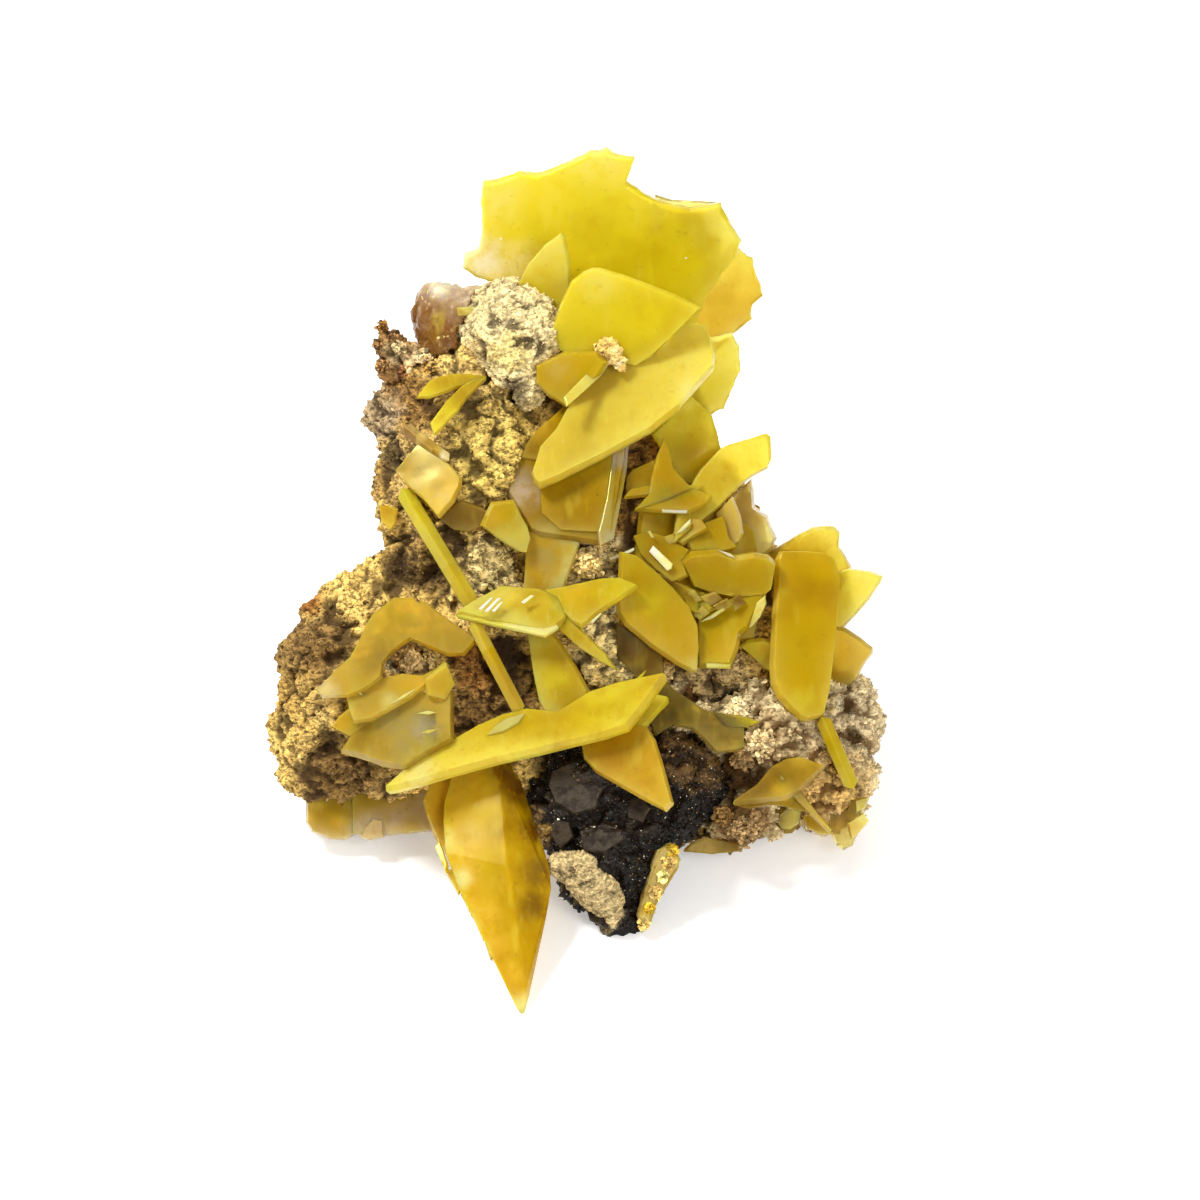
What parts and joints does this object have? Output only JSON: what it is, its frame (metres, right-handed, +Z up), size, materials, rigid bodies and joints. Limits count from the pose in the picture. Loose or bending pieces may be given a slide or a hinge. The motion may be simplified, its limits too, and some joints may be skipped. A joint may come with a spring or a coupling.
{
  "type": "wulfenite specimen",
  "caption": "Natural mineral specimen: thin yellow to amber tablet crystals grown on a rough buff and dark rock, resting on a flat underside.",
  "frame": {"origin": "On the flat underside of the matrix rock, below the middle of the front part.", "axes": "+Z up; +Y from the front spike towards the back; +X to the viewer's right when looking along +Y."},
  "size_m": [0.0612, 0.0729, 0.0547],
  "materials": {
    "buff_rock": "buff, crusty, matt limonite and calcite rock",
    "dark_ore": "black-brown ore with small bright grains",
    "pale_druse": "pale grey-cream, sugary crust, faintly sparkling",
    "pale_rock": "pale buff, granular, matt crust",
    "calcite": "half-clear pink-beige calcite",
    "rust": "red-brown, rough, matt",
    "lemon": "half-clear lemon yellow, resinous lustre",
    "honey": "half-clear honey yellow, resinous lustre",
    "pale_lemon": "pale, half-clear lemon yellow, resinous lustre",
    "amber": "half-clear amber, resinous lustre",
    "smoky": "half-clear smoky yellow-grey, resinous lustre",
    "tan": "half-clear tan, resinous lustre",
    "olive": "half-clear olive grey, resinous lustre"
  },
  "bodies": {
    "root": {"matrix_rock": "buff_rock", "dark_ore_mass": "dark_ore", "pale_druse_lump": "pale_druse", "granular_knob": "pale_rock", "calcite_knob": "calcite", "rust_prong": "rust", "calcite_crumb": "pale_druse", "buff_crust_patch": "buff_rock", "long_bottom_blade": "lemon", "front_spike": "honey", "upper_square_plate": "pale_lemon", "small_bevelled_plate": "amber", "long_leaning_plate": "lemon", "crown_plate": "lemon", "crown_back_sliver": "pale_lemon", "fringe_plate_upper": "pale_lemon", "fringe_plate_lower": "pale_lemon", "pale_wedge_plate": "pale_lemon", "amber_back_plate": "amber", "smoky_centre_plate": "smoky", "yellow_centre_plate": "lemon", "grey_yellow_plate": "smoky", "tan_left_plate": "tan", "brown_small_plate": "amber", "long_thin_blade": "lemon", "left_edge_triangle": "tan", "v_blades": "lemon", "twig_blade": "tan", "crossed_plates": "lemon", "thin_centre_blade": "lemon", "blade_companion": "honey", "amber_wedge": "honey", "olive_plate": "olive", "spearhead_plate": "amber", "finger_plate": "lemon", "amber_rosette": "amber", "brown_under_plate": "amber", "upper_back_plate": "amber", "small_standing_plate": "tan", "tan_back_crystal": "tan", "big_right_plate": "lemon", "right_cluster_back_plate": "pale_lemon", "right_triangle_plate": "lemon", "tan_lower_right_plate": "tan", "right_cluster_small_plate": "lemon", "thin_lower_blade": "lemon", "lower_right_group": "honey", "lower_right_small_plate": "honey", "lower_right_clear_plates": "tan", "big_tan_plate": "tan", "arched_plate": "tan", "lens_plate": "tan", "spear_plate": "lemon", "left_yellow_wedge": "lemon", "left_clear_plates": "tan", "spike_side_plate": "honey", "ore_edge_strip": "tan"}
  },
  "joints": []
}
